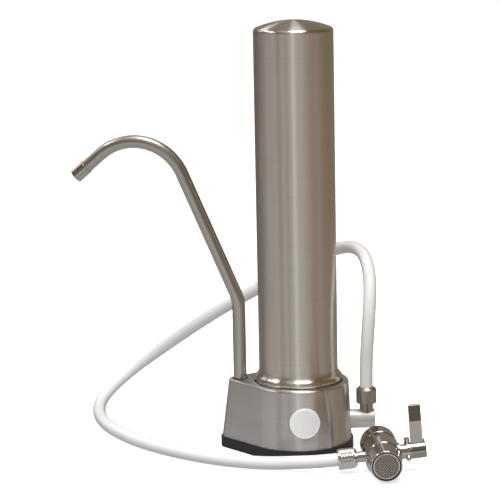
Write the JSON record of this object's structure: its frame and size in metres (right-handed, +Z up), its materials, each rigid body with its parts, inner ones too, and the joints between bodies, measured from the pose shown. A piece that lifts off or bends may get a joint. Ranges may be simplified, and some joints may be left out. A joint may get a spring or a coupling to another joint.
{
  "type": "countertop water filter",
  "caption": "Countertop water filter: steel canister on a teardrop base with a swivel gooseneck spout, and a white hose to a faucet diverter valve with a lever.",
  "frame": {"origin": "on the canister's axis, at the counter", "axes": "+Z up along the canister, -X towards the spout, -Y towards the base's round front"},
  "size_m": [0.287, 0.2199, 0.3284],
  "materials": {
    "brushed_steel": "fine brushed stainless steel",
    "satin_steel": "satin stainless steel",
    "foot_black": "satin black moulding",
    "dark_nickel": "dark nickel plate",
    "chrome": "polished chrome plate",
    "hose_white": "glossy white hose",
    "badge_face": "plain pearl white plate",
    "rubber": "black rubber",
    "head_plastic": "white moulding",
    "carbon": "pressed carbon",
    "wrap": "white non-woven wrap",
    "black_nylon": "black nylon",
    "mesh_steel": "fine woven steel screen",
    "brass": "turned brass",
    "fastener_steel": "plain steel"
  },
  "bodies": {
    "base": {"aerator_housing": "chrome", "aerator_ring": "black_nylon", "aerator_screen": "mesh_steel", "aerator_washer": "rubber", "badge": "badge_face", "base_foot": "foot_black", "base_screws": "fastener_steel", "base_shell": "brushed_steel", "bonnet": "chrome", "canister_o_ring": "rubber", "carbon_block": "carbon", "cartridge_bottom_cap": "head_plastic", "cartridge_o_rings": "rubber", "cartridge_sleeve": "wrap", "cartridge_top_cap": "head_plastic", "coupling_retainer": "fastener_steel", "coupling_washer": "rubber", "diverter_body": "chrome", "filter_head": "head_plastic", "hose": "hose_white", "hose_nut_diverter": "chrome", "hose_nut_inlet": "dark_nickel", "inlet_bar": "satin_steel", "inlet_nipple": "dark_nickel", "inlet_washer": "rubber", "spout_bush": "black_nylon", "spout_gland": "brass", "spout_o_rings": "rubber"},
    "spout": {"spout_tube": "satin_steel", "spout_tip": "satin_steel", "spout_snap_ring": "fastener_steel"},
    "canister": {"canister": "brushed_steel", "canister_collar": "satin_steel"},
    "lever": {"lever": "chrome", "lever_screw": "chrome", "valve_spool": "brass", "spool_o_rings": "rubber"},
    "coupling_nut": {"coupling_nut": "chrome"}
  },
  "joints": [
    {"name": "spout_swivel", "type": "hinge", "parent": "base", "child": "spout", "pos_m": [-0.0454, 0, 0], "axis": [0, 0, 1], "range_deg": [-115, 115]},
    {"name": "canister_lift", "type": "slide", "parent": "base", "child": "canister", "axis": [0, 0, 1], "range_m": [0, 0.28]},
    {"name": "lever_turn", "type": "hinge", "parent": "base", "child": "lever", "pos_m": [0.0711, -0.0592, 0.0138], "axis": [0.97, 0.224, 0.0941], "range_deg": [0, 90]},
    {"name": "nut_turn", "type": "hinge", "parent": "base", "child": "coupling_nut", "pos_m": [0.0711, -0.0592, 0.0138], "axis": [0.225, -0.9744, 0], "continuous": true}
  ]
}
